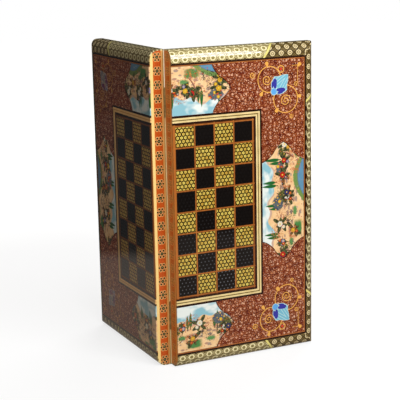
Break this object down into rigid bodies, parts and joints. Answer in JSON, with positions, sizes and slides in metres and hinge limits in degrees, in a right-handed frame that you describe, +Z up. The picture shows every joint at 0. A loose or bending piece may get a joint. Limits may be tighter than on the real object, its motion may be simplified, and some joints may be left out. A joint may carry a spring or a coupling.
{
  "type": "folding chess board case",
  "caption": "Folding games case of inlaid wood: two hinged trays, chess board outside when opened flat, backgammon board inside, with a small hook clasp.",
  "frame": {"origin": "centre of the bounding box on the surface that the case stands on", "axes": "+Z up along the spine; the right tray runs along +X with its playing face to -Y, the left tray runs along +Y with its playing face to -X"},
  "size_m": [0.2788, 0.2788, 0.5],
  "materials": {
    "rail_wood": "oiled walnut",
    "panel_wood": "plain plywood",
    "border_marquetry": "fine star marquetry under gloss lacquer",
    "pale_strip": "pale wood strip under gloss lacquer",
    "star_marquetry": "orange strip with inlaid rosettes, lacquered",
    "rim_banding": "line banding, lacquered",
    "dark_square_marquetry": "ebony marquetry under gloss lacquer",
    "light_square_marquetry": "bone and wood marquetry, lacquered",
    "lattice_line": "orange wood stringing, lacquered",
    "frame_banding": "cream and olive banding, lacquered",
    "border_line": "dark and gold stringing, lacquered",
    "painted_panel": "painted garden panel under gloss lacquer",
    "painted_field": "painted scrollwork under gloss lacquer",
    "floor_wood": "lacquered rosewood",
    "dark_point": "dark marquetry, lacquered",
    "light_point": "light marquetry, lacquered",
    "lining_wood": "lacquered wood",
    "hinge_brass": "aged satin brass",
    "screw_brass": "satin brass",
    "clasp_brass": "aged satin brass"
  },
  "bodies": {
    "left_tray": {"left_spine_rail": "rail_wood", "left_top_rail": "rail_wood", "left_bottom_rail": "rail_wood", "left_front_rail": "rail_wood", "left_base_panel": "panel_wood", "left_border_top": "border_marquetry", "left_border_bottom": "border_marquetry", "left_border_front": "border_marquetry", "left_spine_edging": "pale_strip", "left_spine_star_strip": "star_marquetry", "left_rim_banding": "rim_banding", "left_dark_squares": "dark_square_marquetry", "left_light_squares": "light_square_marquetry", "left_square_lattice": "lattice_line", "left_chess_frame": "frame_banding", "left_border_lines": "border_line", "left_painted_panels": "painted_panel", "left_field_veneer": "painted_field", "left_inner_floor": "floor_wood", "left_dark_points": "dark_point", "left_light_points": "light_point", "left_wall_lining": "lining_wood", "upper_hinge_left_leaf": "hinge_brass", "lower_hinge_left_leaf": "hinge_brass", "left_hinge_screws": "screw_brass", "upper_hinge_pin": "hinge_brass", "lower_hinge_pin": "hinge_brass", "hook_plate": "clasp_brass", "hook_pivot": "clasp_brass"},
    "right_tray": {"right_spine_rail": "rail_wood", "right_top_rail": "rail_wood", "right_bottom_rail": "rail_wood", "right_front_rail": "rail_wood", "right_base_panel": "panel_wood", "right_border_top": "border_marquetry", "right_border_bottom": "border_marquetry", "right_border_front": "border_marquetry", "right_spine_edging": "pale_strip", "right_spine_star_strip": "star_marquetry", "right_rim_banding": "rim_banding", "right_dark_squares": "dark_square_marquetry", "right_light_squares": "light_square_marquetry", "right_square_lattice": "lattice_line", "right_chess_frame": "frame_banding", "right_border_lines": "border_line", "right_painted_panels": "painted_panel", "right_field_veneer": "painted_field", "right_inner_floor": "floor_wood", "right_dark_points": "dark_point", "right_light_points": "light_point", "right_wall_lining": "lining_wood", "upper_hinge_right_leaf": "hinge_brass", "lower_hinge_right_leaf": "hinge_brass", "right_hinge_screws": "screw_brass", "keeper_plate": "clasp_brass", "keeper_stud": "clasp_brass"},
    "clasp_hook": {"clasp_hook": "clasp_brass"}
  },
  "joints": [
    {"name": "case_hinge", "type": "hinge", "parent": "left_tray", "child": "right_tray", "pos_m": [-0.11425, -0.11425, 0.25], "axis": [0, 0, -1], "range_deg": [-90, 90]},
    {"name": "clasp_pivot", "type": "hinge", "parent": "left_tray", "child": "clasp_hook", "pos_m": [-0.1192, 0.13745, 0.25], "axis": [0, -1, 0], "range_deg": [0, 90]}
  ]
}
